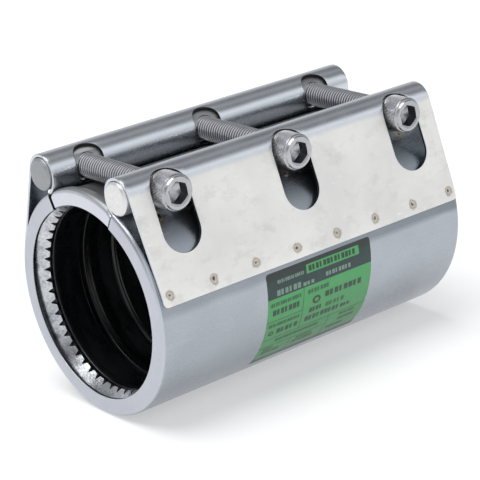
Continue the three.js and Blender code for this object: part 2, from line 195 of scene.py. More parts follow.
def shade(mesh, sharp_deg):
    mesh.polygons.foreach_set("use_smooth", [True] * len(mesh.polygons))
    mesh.set_sharp_from_angle(angle=math.radians(sharp_deg))


def add_object(name, data):
    made = bpy.data.objects.new(name, data)
    bpy.context.scene.collection.objects.link(made)
    return made


class Shape:
    """Vertices in millimetres, with faces that may each have a material number."""

    def __init__(self):
        self.points = []
        self.faces = []
        self.slots = []

    def add_points(self, points):
        start = len(self.points)
        self.points.extend(points)
        return start

    def add_face(self, corners, slot=0):
        self.faces.append(tuple(corners))
        self.slots.append(slot)

    def loft(self, rings, closed_rings=True, closed_path=False, caps=(False, False), slot=0):
        """Joins rings of points, all of the same length, by quads."""
        count = len(rings[0])
        starts = [self.add_points(ring) for ring in rings]
        pairs = list(zip(starts, starts[1:]))
        if closed_path:
            pairs.append((starts[-1], starts[0]))
        for a, b in pairs:
            for i in range(count if closed_rings else count - 1):
                j = (i + 1) % count
                self.add_face((a + i, a + j, b + j, b + i), slot)
        if caps[0]:
            self.add_face([starts[0] + i for i in range(count)], slot)
        if caps[1]:
            self.add_face([starts[-1] + i for i in range(count)][::-1], slot)

    def mirrored(self, axis):
        other = Shape()
        other.points = [tuple(-c if k == axis else c for k, c in enumerate(p)) for p in self.points]
        other.faces = [face[::-1] for face in self.faces]
        other.slots = list(self.slots)
        return other

    def join(self, other):
        start = self.add_points(other.points)
        for face, slot in zip(other.faces, other.slots):
            self.add_face([start + i for i in face], slot)
        return self

    def to_object(self, name, materials, sharp_deg=32, recalc=True):
        mesh = bpy.data.meshes.new(name)
        mesh.from_pydata([tuple(c * MM for c in p) for p in self.points], [], self.faces)
        for material in materials:
            mesh.materials.append(material)
        mesh.polygons.foreach_set("material_index", self.slots)
        work = bmesh.new()
        work.from_mesh(mesh)
        bmesh.ops.remove_doubles(work, verts=work.verts, dist=1e-7)
        if recalc:
            bmesh.ops.recalc_face_normals(work, faces=work.faces)
        work.to_mesh(mesh)
        work.free()
        shade(mesh, sharp_deg)
        mesh.update()
        return add_object(name, mesh)


def sheet_outline(path, thickness, edge=EDGE):
    """The closed outline of a sheet with rounded edges, from its middle line in 2D."""
    left, right = [], []
    for i, (a, b) in enumerate(path):
        da, db = heading(path[max(i - 1, 0)], path[min(i + 1, len(path) - 1)])
        pull = edge if i == 0 else -edge if i == len(path) - 1 else 0
        for side, sign in ((left, 1), (right, -1)):
            offset = sign * thickness / 2
            side.append((a - db * offset + da * pull, b + da * offset + db * pull))

    def end(i, j):
        a, b = path[i]
        da, db = heading(path[i], path[j])
        points = []
        for across, along in ((0.5, 0.3), (0.5, 0.0), (-0.5, 0.0), (-0.5, 0.3)):
            inset = edge * (0.3 if along else 1.0)
            offset = across * thickness - math.copysign(inset, across)
            points.append((a + da * along * edge - db * offset, b + db * along * edge + da * offset))
        return points

    tail = end(-1, -2)
    head = end(0, 1)
    return left + tail[::-1] + right[::-1] + head[::-1]


# ---- materials

REST_PLACE = "rest_place"  # the attribute that keeps a flexing piece's pattern on its surface


class Tree:
    """A short way to build a node tree."""

    def __init__(self, tree):
        self.tree = tree

    def feed(self, socket, value):
        """Links an output to a socket, or sets a value on it. Colours have three numbers."""
        if isinstance(value, bpy.types.NodeSocket):
            self.tree.links.new(value, socket)
        elif socket.type == "RGBA":
            socket.default_value = (*value, 1.0)
        else:
            socket.default_value = value

    def add(self, kind, inputs=None, **settings):
        node = self.tree.nodes.new(kind)
        for key, value in settings.items():
            setattr(node, key, value)
        for key, value in (inputs or {}).items():
            self.feed(node.inputs[key], value)
        return node

    def split(self, vector):
        return self.add("ShaderNodeSeparateXYZ", {"Vector": vector}).outputs

    def math(self, operation, a, b=0.0):
        return self.add("ShaderNodeMath", {0: a, 1: b}, operation=operation).outputs[0]

    def ramp(self, value, low, high, a=0.0, b=1.0):
        inputs = {"Value": value, "From Min": low, "From Max": high, "To Min": a, "To Max": b}
        return self.add("ShaderNodeMapRange", inputs, clamp=True).outputs[0]

    def blend(self, share, a, b):
        """Colour a, with this share of colour b."""
        return self.add("ShaderNodeMix", {0: share, 6: a, 7: b}, data_type="RGBA").outputs[2]


class Nodes(Tree):
    """The node tree of one procedural material."""

    def __init__(self, name, flexes=False):
        self.material = bpy.data.materials.new(name)
        self.material.use_nodes = True
        super().__init__(self.material.node_tree)
        self.shader = self.tree.nodes["Principled BSDF"]
        if flexes:
            self.position = self.add("ShaderNodeAttribute", attribute_name=REST_PLACE).outputs["Vector"]
        else:
            self.position = self.add("ShaderNodeTexCoord").outputs["Object"]

    def stretched(self, scale):
        """The object's coordinates, scaled differently along each axis."""
        return self.add("ShaderNodeMapping", {"Vector": self.position, "Scale": scale}).outputs[0]

    def noise(self, scale, detail, roughness=0.55, vector=None):
        inputs = {"Vector": vector or self.position, "Scale": scale, "Detail": detail,
                  "Roughness": roughness}
        return self.add("ShaderNodeTexNoise", inputs).outputs["Fac"]

    def wobble(self, size, *noise):
        """Noise that goes as far below zero as above it."""
        return self.math("MULTIPLY", self.math("SUBTRACT", self.noise(*noise), 0.5), size)

    def bump(self, height, distance, strength, normal=None):
        inputs = {"Height": height, "Distance": distance, "Strength": strength}
        if normal:
            inputs["Normal"] = normal
        return self.add("ShaderNodeBump", inputs).outputs["Normal"]

    def set(self, **values):
        """Shader inputs by name, with underscores for spaces."""
        for key, value in values.items():
            self.feed(self.shader.inputs[key.replace("_", " ")], value)


def darker(colour, share):
    return tuple(c * share for c in colour)


def stainless(name, base, roughness, grain=(40, 900, 900), stains=0.5):
    """Satin rolled stainless sheet: a fine grain, cloudy patches and a few scuffs."""
    n = Nodes(name, flexes=True)
    grain_value = n.noise(2.2, 6, 0.7, n.stretched(grain))
    cloud = n.noise(28, 3, 0.5)
    scuff = n.ramp(n.noise(9, 5, 0.75, n.stretched((260, 14, 60))), 0.66, 0.74)
    tone = n.blend(n.ramp(cloud, 0.35, 0.7, 0, stains), base, darker(base, 0.86))
    tone = n.blend(n.ramp(grain_value, 0.3, 0.75, 0, 0.16), tone, darker(base, 0.8))
    rough = n.math("ADD", n.ramp(grain_value, 0.2, 0.8, roughness - 0.04, roughness + 0.05),
                   n.ramp(cloud, 0.3, 0.7, -0.03, 0.05))
    rough = n.math("ADD", rough, n.math("MULTIPLY", scuff, 0.08))
    fine = n.bump(grain_value, 0.000012, 0.6)
    n.set(Base_Color=tone, Metallic=1.0, Roughness=rough, Normal=n.bump(cloud, 0.00012, 0.25, fine))
    return n


def weld_distance(n, first_x, z):
    """Distance from the nearest spot weld of a row along X at height z, with a slightly ragged edge."""
    parts = n.split(n.position)
    pitch = WELD_PITCH * MM
    shifted = n.math("SUBTRACT", parts["X"], first_x * MM - pitch * (WELD_COUNT + 0.5))
    along = n.math("SUBTRACT", n.math("FLOORED_MODULO", shifted, pitch), pitch / 2)
    up = n.math("SUBTRACT", parts["Z"], z * MM)
    distance = n.math("SQRT", n.math("ADD", n.math("POWER", along, 2.0), n.math("POWER", up, 2.0)))
    return n.math("ADD", distance, n.wobble(0.0034, 330, 4, 0.65))


def weld_tone(n, distance, base):
    """The weld's colours over base: a brown halo, a grey ring and a dark pit."""
    tone = n.blend(n.ramp(distance, 0.0018, 0.0031, 0.6, 0.0), base, (0.52, 0.44, 0.34))
    ring = n.math("MULTIPLY", n.ramp(distance, 0.0011, 0.0018), n.ramp(distance, 0.0020, 0.0026, 1.0, 0.0))
    tone = n.blend(n.math("MULTIPLY", ring, 0.5), tone, (0.18, 0.16, 0.135))
    return n.blend(n.ramp(distance, 0.0003, 0.0010, 0.9, 0.0), tone, (0.035, 0.03, 0.026))


def fold_material():
    """Satin on the loops and a bead-blasted white on the plates, with a ragged border between them."""
    n = Nodes("fold_stainless", flexes=True)
    parts = n.split(n.position)
    border = (BAR_Z + BAR_R * 0.42) * MM
    ragged = n.math("ADD", parts["Z"], n.wobble(0.0017, 160, 4, 0.7))
    low = n.ramp(ragged, border - 0.0016, border + 0.0010, 1.0, 0.0)
    outside = n.ramp(n.math("ABSOLUTE", parts["Y"]), (BAR_Y + 4) * MM, (BAR_Y + 5) * MM)
    facing = n.split(n.add("ShaderNodeTexCoord").outputs["Normal"])["Y"]
    outward = n.math("MULTIPLY", facing, n.math("SIGN", parts["Y"]))
    matte = n.math("MULTIPLY", n.math("MULTIPLY", low, outside), n.ramp(outward, 0.3, 0.6))

    streak = n.noise(2.2, 6, 0.7, n.stretched((30, 800, 800)))
    cloud = n.noise(26, 4, 0.6)
    patch = n.noise(70, 5, 0.7, n.stretched((1, 1.6, 1.6)))
    satin = n.blend(n.ramp(streak, 0.3, 0.7, 0, 0.35), (0.63, 0.66, 0.70), (0.50, 0.53, 0.57))
    white = n.blend(n.ramp(cloud, 0.40, 0.66, 0, 0.65), (0.81, 0.80, 0.775), (0.67, 0.67, 0.65))
    white = n.blend(n.ramp(patch, 0.52, 0.74, 0, 0.7), white, (0.58, 0.575, 0.555))
    scuff = n.noise(3, 3, 0.6, n.stretched((60, 260, 260)))
    white = n.blend(n.ramp(scuff, 0.66, 0.71, 0, 0.5), white, (0.93, 0.93, 0.92))
    height = PLATE_MID_R * math.sin(math.radians(TANGENT_DEG)) - WELD_BELOW_TANGENT
    white = weld_tone(n, weld_distance(n, WELD_PITCH / 2, height), white)
    rough = n.math("ADD", n.ramp(matte, 0, 1, 0.25, 0.5), n.ramp(patch, 0.3, 0.7, -0.03, 0.06))
    fine = n.bump(streak, 0.00001, 0.5)
    dents = n.bump(n.math("MULTIPLY", cloud, n.ramp(matte, 0, 1, 0.25, 1.0)), 0.00014, 0.25, fine)
    blasted = n.math("MULTIPLY", n.noise(1100, 3, 0.6), matte)
    n.set(Base_Color=n.blend(matte, satin, white), Metallic=n.ramp(matte, 0, 1, 1.0, 0.55), Roughness=rough,
          Normal=n.bump(blasted, 0.00004, 0.35, dents))
    return n.material


def wall_material():
    """The rolled wall: cloudy satin, painted shade as a dark strip under the plates, and the marks of the
    loops' welds.
    """
    n = stainless("casing_stainless", (0.42, 0.45, 0.49), 0.26, grain=(30, 700, 700), stains=0.7)
    base = n.shader.inputs["Base Color"].links[0].from_socket
    shade = n.noise(17, 3, 0.5, n.stretched((0.6, 1, 1)))
    base = n.blend(n.ramp(shade, 0.45, 0.7, 0, 0.5), base, (0.30, 0.34, 0.385))
    rub = n.noise(6, 5, 0.65, n.stretched((1, 4, 4)))
    base = n.blend(n.ramp(rub, 0.56, 0.72, 0, 0.45), base, (0.60, 0.62, 0.65))
    parts = n.split(n.position)
    # Painted shade: a dark strip just under the plates' lower edge, stronger towards +X.
    edge = PLATE_MID_R * math.sin(math.radians(PLATE_END_DEG)) * MM
    wavy = n.math("ADD", parts["Z"], n.math("MULTIPLY", n.noise(30, 2), 0.004))
    rightward = n.ramp(parts["X"], -0.06, 0.09, 0.5, 0.9)
    painted_shade_strip = n.math("MULTIPLY", n.ramp(wavy, edge - 0.0046, edge - 0.0016), rightward)
    tone = n.blend(painted_shade_strip, base, (0.20, 0.225, 0.25))
    n.set(Base_Color=weld_tone(n, weld_distance(n, LOOP_WELD_X, LOOP_WELD_Z), tone))
    return n.material


def casing_materials():
    flange = stainless("flange_stainless", (0.53, 0.55, 0.605), 0.33, grain=(700, 120, 120))
    # Painted shade: a near-black steel on the cut faces at the gap and in the windows and slots.
    painted_shade_edge = stainless("painted_shade_edge", (0.055, 0.055, 0.055), 0.5)
    return [wall_material(), flange.material, fold_material(), painted_shade_edge.material]


def screw_materials():
    """Satin steel for the screw, painted shade in its socket, the tone of its knurls, and on its thread
    painted shade in the roots and on the flanks and a painted highlight on the crests.

    Each kind has its light and dark tone and its roughness. They stand in the order of SCREW to
    CREST_HIGHLIGHT.
    """
    made = []
    # The socket, root and flank tones are painted shade and the crest tone a painted highlight.
    kinds = (("screw_steel", 0.47, 0.34, 0.22), ("socket_painted_shade", 0.15, 0.07, 0.36),
             ("knurled_steel", 0.62, 0.46, 0.38), ("thread_root_painted_shade", 0.03, 0.012, 0.6),
             ("thread_flank_painted_shade", 0.20, 0.12, 0.42), ("thread_crest_painted_highlight", 0.60, 0.48, 0.34))
    for name, light, dark, rough in kinds:
        depth = 0.00004 if name == "knurled_steel" else 0.000008
        n = Nodes(name)
        grain = n.noise(900, 4, 0.6)
        blotch = n.noise(160, 3, 0.5)
        tone = n.blend(n.ramp(blotch, 0.4, 0.7, 0, 0.5), (light, light, light + 0.02),
                       (dark, dark, dark + 0.01))
        n.set(Base_Color=tone, Metallic=1.0, Roughness=n.ramp(grain, 0.3, 0.7, rough - 0.03, rough + 0.1),
              Normal=n.bump(grain, depth, 0.3))
        made.append(n.material)
    return made


def bar_material(name, base, roughness):
    """Turned steel with a fine speckle and dull clouds."""
    n = Nodes(name)
    speckle = n.noise(700, 5, 0.7)
    cloud = n.noise(90, 3, 0.5)
    tone = n.blend(n.ramp(speckle, 0.35, 0.7, 0, 0.35), base, darker(base, 0.62))
    tone = n.blend(n.ramp(cloud, 0.4, 0.7, 0, 0.25), tone, darker(base, 0.75))
    rough = n.ramp(speckle, 0.3, 0.7, roughness - 0.05, roughness + 0.1)
    n.set(Base_Color=tone, Metallic=0.9, Roughness=rough, Normal=n.bump(speckle, 0.00006, 0.5))
    return n.material


def ring_material():
    """Hardened spring steel with dark blotches."""
    n = Nodes("ring_steel", flexes=True)
    speckle = n.noise(800, 5, 0.65)
    blotch = n.noise(110, 5, 0.7)
    tone = n.blend(n.ramp(speckle, 0.3, 0.75), (0.68, 0.70, 0.73), (0.40, 0.41, 0.43))
    tone = n.blend(n.ramp(blotch, 0.47, 0.68, 0, 0.8), tone, (0.07, 0.075, 0.085))
    n.set(Base_Color=tone, Metallic=1.0, Roughness=n.ramp(speckle, 0.3, 0.7, 0.15, 0.30),
          Normal=n.bump(speckle, 0.00006, 0.6))
    return n.material


def rubber_material():
    n = Nodes("rubber", flexes=True)
    fine = n.noise(1500, 3, 0.6)
    haze = n.noise(60, 4, 0.6, n.stretched((3, 1, 1)))
    tone = n.blend(n.ramp(haze, 0.35, 0.75), (0.002, 0.0024, 0.003), (0.006, 0.007, 0.008))
    n.set(Base_Color=tone, Roughness=n.ramp(haze, 0.3, 0.7, 0.22, 0.34), Specular_IOR_Level=0.42,
          Normal=n.bump(fine, 0.00002, 0.4))
    return n.material


def print_material(name, colour):
    """Printed plastic foil with slightly uneven ink, and painted shade towards the wall's lowest line, where
    the print turns greyer and the green darker.
    """
    n = Nodes(name)
    ink = n.noise(260, 4, 0.6)
    tone = n.blend(n.ramp(ink, 0.3, 0.75, 0, 0.3), colour, darker(colour, 0.72))
    height = n.split(n.position)["Z"]
    # Painted shade: towards the bottom the print turns greyer and the green darker.
    painted_shade_colour = tuple(mix(c, 0.14, 0.35) * 0.8 for c in colour)
    tone = n.blend(n.ramp(height, -0.042, -0.004, 1.0, 0.0), tone, painted_shade_colour)
    n.set(Base_Color=tone, Roughness=n.ramp(ink, 0.3, 0.7, 0.42, 0.54), Coat_Weight=0.25,
          Coat_Roughness=0.15, Normal=n.bump(n.noise(50, 2), 0.0003, 0.2))
    return n.material


# ---- casing

# The last slot is a near-black painted shade for cut faces.
WALL, FLANGE, FOLD, PAINTED_EDGE_SHADE = range(4)


def wall_path():
    """The middle line of the wall and its two flanges, as (x, radius) points."""
    flange_x = CASING_HALF - SHEET / 2
    bend = BEND_R - SHEET / 2
    right = [(flange_x, FLANGE_INNER_R), (flange_x, FLANGE_INNER_R + 3)]
    right += arc(CASING_HALF - BEND_R, CASING_R - BEND_R, bend, steps(0, 90, 11.25))
    left = [(-x, r) for x, r in right[::-1]]
    return right + left


def at_end(shape, face):
    """Whether a face is part of a flange, at either end of the bore."""
    return all(abs(shape.points[k][0]) > CASING_HALF - FLANGE_ZONE for k in face)


def casing_wall():
    outline = sheet_outline(wall_path(), SHEET)
    shape = Shape()
    shape.loft([about_x(outline, deg) for deg in steps(BAR_DEG, -180 - BAR_DEG, 1.5)], caps=(True, True))
    for i, face in enumerate(shape.faces):
        end_cap = len(face) > 4
        # The wall's end caps, in the gap, get the painted shade of the cut faces.
        shape.slots[i] = PAINTED_EDGE_SHADE if end_cap else FLANGE if at_end(shape, face) else WALL
    return shape


class Fold:
    """The folded sheet on the +Y side, as a flat blank of (x, v) points bent along a middle line.

    v runs from the wall, round the bar, down the plate and onto the wall again.
    """

    def __init__(self):
        self.line, self.turn, self.v = [], [], [0.0]
        entry_r = BAR_DISTANCE - (CASING_R - SHEET / 2)
        start = BAR_DEG + 180
        for deg in steps(start, TANGENT_DEG, 2.5):
            radius = mix(entry_r, LOOP_MID_R, smooth((start - deg) / LOOP_ENTRY_DEG))
            y, z = polar(radius, deg)
            self.line.append((BAR_Y + y, BAR_Z + z))
            self.turn.append(deg)
        loop_end = len(self.line) - 1
        y0, z0 = self.line[-1]
        y1, z1 = polar(PLATE_MID_R, TANGENT_DEG)
        self.line += [(mix(y0, y1, t), mix(z0, z1, t)) for t in steps(0, 1, 0.1)[1:]]
        tangent = len(self.line) - 1
        self.line += [polar(PLATE_MID_R + 0.02, deg) for deg in steps(TANGENT_DEG, PLATE_END_DEG, 1.5)[1:]]
        for a, b in zip(self.line, self.line[1:]):
            self.v.append(self.v[-1] + math.dist(a, b))
        self.loop_end = self.v[loop_end]
        self.tangent = self.v[tangent]
        self.end = self.v[-1]

    def v_at_turn(self, deg):
        """v where the middle line points this way from the bar's axis."""
        for i in range(len(self.turn) - 1):
            if self.turn[i + 1] <= deg <= self.turn[i]:
                share = (self.turn[i] - deg) / (self.turn[i] - self.turn[i + 1])
                return mix(self.v[i], self.v[i + 1], share)
        raise ValueError("angle outside the loop")

    def place(self, x, v, depth):
        """The point at this depth under the side that faces away from the bar."""
        v = min(max(v, 0.0), self.end)
        i = next((k for k in range(1, len(self.v)) if self.v[k] >= v), len(self.v) - 1)
        share = (v - self.v[i - 1]) / (self.v[i] - self.v[i - 1])

        def tangent(k):
            (a, b), (c, d) = self.line[max(k - 1, 0)], self.line[min(k + 1, len(self.line) - 1)]
            return Vector((c - a, d - b)).normalized()

        along = tangent(i - 1).lerp(tangent(i), share).normalized()
        y = mix(self.line[i - 1][0], self.line[i][0], share)
        z = mix(self.line[i - 1][1], self.line[i][1], share)
        offset = SHEET / 2 - depth
        return (x, y - along[1] * offset, z + along[0] * offset)

    def half_width(self, v):
        share = max(0.0, (v - self.loop_end) / (self.end - self.loop_end))
        return LOOP_HALF - PLATE_TAPER * share


def slot_outline(x, half, low_v, high_v, grow):
    """A slot with round ends, from low_v to high_v."""
    radius = half + grow
    top = low_v + half
    bottom = high_v - half
    upper = arc(x, top, radius, steps(180, 360, 7.5))
    lower = arc(x, bottom, radius, steps(0, 180, 7.5))
    right = [(x + radius, v) for v in steps(top, bottom, 2.0)[1:-1]]
    left = [(x - radius, v) for v in steps(bottom, top, 2.0)[1:-1]]
    return upper + right + lower + left


def blank_outline(fold, shrink):
    """The blank's outer edge. The plate's lower corners are rounded."""
    corner = 2.0
    low, high = 0.0, fold.end - shrink
    right = [(fold.half_width(v) - shrink, v) for v in steps(low, high - corner, 1.6)]
    right += arc(fold.half_width(high) - shrink - corner, high - corner, corner, steps(0, 90, 15)[1:])
    left = [(-x, v) for x, v in right[::-1]]
    bottom = [(x, low) for x in steps(left[-1][0], right[0][0], 4.0)[1:-1]]
    across = [(x, high) for x in steps(right[-1][0], left[0][0], 4.0)[1:-1]]
    return right + across + left + bottom


def inside(point, outline):
    """Whether a point is inside a closed outline, by the crossings of a ray from it."""
    x, y = point
    hit = False
    for (x0, y0), (x1, y1) in zip(outline, outline[1:] + outline[:1]):
        if (y0 > y) != (y1 > y) and x < (x1 - x0) * (y - y0) / (y1 - y0) + x0:
            hit = not hit
    return hit


def in_metal(point, loops):
    """Whether a point is inside the first loop, the outer edge, and outside the others, the holes."""
    return inside(point, loops[0]) and not any(inside(point, hole) for hole in loops[1:])


def weld_spots(fold):
    v = fold.tangent + WELD_BELOW_TANGENT
    return [((i - (WELD_COUNT - 1) / 2) * WELD_PITCH, v) for i in range(WELD_COUNT)]


def weld_dip(distance):
    """How far a spot weld's dimple is pressed in: a raised lip, a flat dish and a small pit."""
    lip = 0.10 * math.exp(-(((distance - WELD_R) / 0.45) ** 2))
    dish = 0.30 * (1 - smooth((distance - 1.2) / (WELD_R - 1.2)))
    pit = 0.45 * (1 - smooth(distance / 0.9))
    return dish + pit - lip


def inner_points(fold, loops, welds):
    """Vertices away from the edges: a grid that leaves the welds free, and rings round each weld."""
    points = []
    for v in steps(0.8, fold.end - 0.8, GRID_V):
        for x in steps(-LOOP_HALF + 2.5, LOOP_HALF - 2.5, GRID_X):
            near_weld = any(math.dist((x, v), weld) < WELD_R + 1.4 for weld in welds)
            if not near_weld and in_metal((x, v), loops):
                points.append((x, v))
    for weld in welds:
        points.append(weld)
        for radius in (0.4, 0.9, 1.5, 2.1, 2.5, 2.9, 3.3, 3.8):
            points += arc(*weld, radius, steps(0, 345, 15))
    return points


def folded_sheet():
    """One folded end of the casing, on the +Y side."""
    fold = Fold()
    xs = [middle(name, 0) for name in SCREWS]
    slot_v = (fold.v_at_turn(90 - SLOT_TOP_DEG), fold.tangent - SLOT_LOW_S)
    low_turn = 180 + math.degrees(math.asin(WINDOW_DROP / LOOP_MID_R))
    window_v = (fold.v_at_turn(low_turn), fold.v_at_turn(90 + WINDOW_TOP_DEG))

    def outlines(grow):
        holes = [slot_outline(x, SLOT_HALF, *slot_v, grow) for x in xs]
        holes += [slot_outline(x, WINDOW_HALF, *window_v, grow) for x in xs]
        return [blank_outline(fold, grow)] + holes

    surface = outlines(EDGE)
    welds = weld_spots(fold)
    flat, edges, starts = [], [], []
    for outline in surface:
        start = len(flat)
        starts.append(start)
        flat += outline
        edges += [(start + i, start + (i + 1) % len(outline)) for i in range(len(outline))]
    flat += inner_points(fold, outlines(1.1), welds)
    result = delaunay_2d_cdt([Vector(p) for p in flat], edges, [], 0, 1e-5)
    points, triangles, origins = result[0], result[2], result[3]
    renamed = {old: new for new, olds in enumerate(origins) for old in olds}
    shape = Shape()

    def dimple(x, v):
        distance = min(math.dist((x, v), weld) for weld in welds)
        return weld_dip(distance) if distance < 5 else 0.0

    top = shape.add_points([fold.place(x, v, dimple(x, v)) for x, v in points])
    bottom = shape.add_points([fold.place(x, v, SHEET) for x, v in points])
    for triangle in triangles:
        centre = tuple(sum(points[i][k] for i in triangle) / 3 for k in (0, 1))
        if in_metal(centre, surface):
            shape.add_face([top + i for i in triangle], FOLD)
            shape.add_face([bottom + i for i in reversed(triangle)], FOLD)
    profile = ((0.3 * EDGE, 0.3 * EDGE), (0.0, EDGE), (0.0, SHEET - EDGE), (0.3 * EDGE, SHEET - 0.3 * EDGE))
    grown = [outlines(grow) for grow, _ in profile]
    for which, outline in enumerate(surface):
        count = len(outline)
        rows = [[top + renamed[starts[which] + i] for i in range(count)]]
        for (grow, depth), sets in zip(profile, grown):
            start = shape.add_points([fold.place(x, v, depth) for x, v in sets[which]])
            rows.append([start + i for i in range(count)])
        rows.append([bottom + renamed[starts[which] + i] for i in range(count)])
        for row, (a, b) in enumerate(zip(rows, rows[1:])):
            # A window's cut edge is all painted shade, a slot's only in the middle, and the blank's not at
            # all
            window, slot_middle = which > len(xs), 0 < which and row == 2
            slot = PAINTED_EDGE_SHADE if window or slot_middle else FOLD
            for i in range(count):
                j = (i + 1) % count
                shape.add_face((a[i], a[j], b[j], b[i]), slot)
    return shape


def casing():
    nut_side = folded_sheet()
    shape = casing_wall()
    shape.join(nut_side)
    shape.join(nut_side.mirrored(1))
    made = shape.to_object("casing", casing_materials(), sharp_deg=35)
    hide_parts("casing_bolt_side", "casing_nut_side")
    flexing(made)


def flexing(made):
    """Keeps each vertex's rest place in an attribute, so the piece's patterns stay on its surface when it
    flexes, and bakes in its transform.
    """
    places = made.data.attributes.new(REST_PLACE, "FLOAT_VECTOR", "POINT")
    places.data.foreach_set("vector", [c for vertex in made.data.vertices for c in vertex.co])
    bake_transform(made)


# ---- bridge plate, rings and sleeve

BRIDGE_FLUSH_X = 1.7  # in the gap, the plate's ends stand out this much further than under the casing
BRIDGE_FLUSH_R = 1.5
BRIDGE_HALF = span("bridge_plate", 0)[1] - BRIDGE_FLUSH_X
BRIDGE_R = span("bridge_plate", 2)[1] - BRIDGE_FLUSH_R
BRIDGE_SHEET = 1.0
BRIDGE_HALF_DEG = 44.0
BRIDGE_STEP_X = (90.0, 86.0)  # the rim steps down to the middle between these
BRIDGE_DIP = 2.9  # the middle dips this much under the screws
BRIDGE_DIP_DEG = 25
GAP_HALF_DEG = 27.0
NUT_TUCK_DEG = (25.2, 26.6)  # the ends go under the casing between these angles from +Z
BOLT_TUCK_DEG = (26.6, 27.15)
RIM_SINK_DEG = (22.2, 26.4)  # the rim sinks between these angles, under the loops


def bridge_middle_r(deg):
    share = min(abs(deg - 90) / BRIDGE_DIP_DEG, 1)
    return BRIDGE_R - 0.2 - BRIDGE_DIP * math.cos(share * math.pi / 2) ** 2


def bridge_section(deg):
    """The plate's section at an angle, as (x, radius) points. Angles run from +Y towards +Z."""
    away = abs(deg - 90)
    low, high = NUT_TUCK_DEG if deg < 90 else BOLT_TUCK_DEG
    flush = 1 - smooth((away - low) / (high - low))
    raised = 1 - smooth((away - RIM_SINK_DEG[0]) / (RIM_SINK_DEG[1] - RIM_SINK_DEG[0]))
    flange_x = BRIDGE_HALF + BRIDGE_FLUSH_X * flush - BRIDGE_SHEET / 2
    rim_r = BRIDGE_R + BRIDGE_FLUSH_R * raised - BRIDGE_SHEET / 2
    bend = mix(1.1, 2.0, raised)
    right = [(flange_x, 47.6), (flange_x, 50.0)]
    right += arc(flange_x - bend, rim_r - bend, bend, steps(0, 90, 15))
    low_r = bridge_middle_r(deg) - BRIDGE_SHEET / 2
    for t in steps(0, 1, 0.2)[1:]:
        right.append((mix(*BRIDGE_STEP_X, t), mix(rim_r, low_r, smooth(t))))
    return sheet_outline(right + [(-x, r) for x, r in right[::-1]], BRIDGE_SHEET, 0.2)


def bridge_plate():
    fine_end = GAP_HALF_DEG + 0.5
    side = steps(0, RIM_SINK_DEG[0], 1.5)[1:] + steps(RIM_SINK_DEG[0], fine_end, 0.25)[1:]
    side += steps(fine_end, BRIDGE_HALF_DEG, 1.5)[1:]
    degs = [90 - away for away in side[::-1]] + [90] + [90 + away for away in side]
    shape = Shape()
    shape.loft([about_x(bridge_section(deg), deg) for deg in degs], caps=(True, True))
    shape.slots = [int(at_end(shape, face)) for face in shape.faces]
    # Painted shade: the plate's middle, under the loops and screws, is a dark copy of the sheet; painted
    # highlight: its flange is brighter than the casing's.
    inner = stainless("bridge_painted_shade", (0.30, 0.31, 0.32), 0.46)
    flange = stainless("bridge_flange_painted_highlight", (0.66, 0.68, 0.73), 0.33, grain=(700, 120, 120))
    made = shape.to_object("bridge", [inner.material, flange.material], sharp_deg=40)
    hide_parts("bridge_plate")
    flexing(made)


TEETH = 51
RING_BASE = (91.9, 50.9)
RING_TIP = (85.8, 45.4)
RING_SHEET = 2.0
TOOTH_DEPTH = 2.5
RING_SPLIT_DEG = 3.0


def grip_ring():
    """The split, toothed cone at the -X end."""
    length = math.dist(RING_BASE, RING_TIP)
    along = ((RING_BASE[0] - RING_TIP[0]) / length, (RING_TIP[1] - RING_BASE[1]) / length)
    back = (-along[1], along[0])

    def section(cut, lean):
        reach = length - cut
        shoulder = length - TOOTH_DEPTH - 0.6
        front = [(0.0, 0.25), (0.25, 0.0), (shoulder, 0.0), (reach - 0.3, lean), (reach, lean + 0.3)]
        rear = [(reach, RING_SHEET - 0.3), (reach - 0.3, RING_SHEET), (shoulder, RING_SHEET),
                (0.25, RING_SHEET), (0.0, RING_SHEET - 0.25)]
        return [(-RING_BASE[0] + along[0] * a + back[0] * b, RING_BASE[1] + along[1] * a + back[1] * b)
                for a, b in front + rear]

    # Share of the pitch, how much of the tooth is missing, and how far its face leans back
    tooth = ((0.0, 1.0, 0.0), (0.035, 1.0, 0.0), (0.22, 0.12, 0.10), (0.27, 0.0, 0.12),
             (0.73, 0.0, 0.12), (0.78, 0.12, 0.10), (0.965, 1.0, 0.0))
    pitch = (360 - RING_SPLIT_DEG) / TEETH
    rings = []
    for i in range(TEETH):
        for share, missing, lean in tooth:
            deg = 90 + RING_SPLIT_DEG / 2 + (i + share) * pitch
            rings.append(about_x(section(missing * TOOTH_DEPTH, lean), deg))
    rings.append(about_x(section(TOOTH_DEPTH, 0.0), 90 - RING_SPLIT_DEG / 2 + 360))
    shape = Shape()
    shape.loft(rings, caps=(True, True))
    return shape


def grip_rings():
    steel = ring_material()
    front = grip_ring()
    for name, shape in (("grip_ring_front", front), ("grip_ring_rear", front.mirrored(0))):
        made = shape.to_object(name + "_teeth", [steel], sharp_deg=28)
        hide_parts(name)
        flexing(made)


def rounded(points, radius):
    """A polyline with its corners replaced by short curves."""
    result = [points[0]]
    for before, corner, after in zip(points, points[1:], points[2:]):
        a, c, b = Vector(before), Vector(corner), Vector(after)
        reach = min(radius, (a - c).length * 0.45, (b - c).length * 0.45)
        start, end = c + (a - c).normalized() * reach, c + (b - c).normalized() * reach
        for t in (0.0, 0.25, 0.5, 0.75, 1.0):
            result.append(tuple(start.lerp(c, t).lerp(c.lerp(end, t), t)))
    return result + [points[-1]]


SLEEVE_R = 53.9
SLEEVE_GAP = 0.35  # to the bridge plate
END_FACE_X = 84.2  # the end faces lean like the grip rings' cones, from this point
END_FACE_R = 47.06
END_FACE_LEAN = (7.7, 6.94)


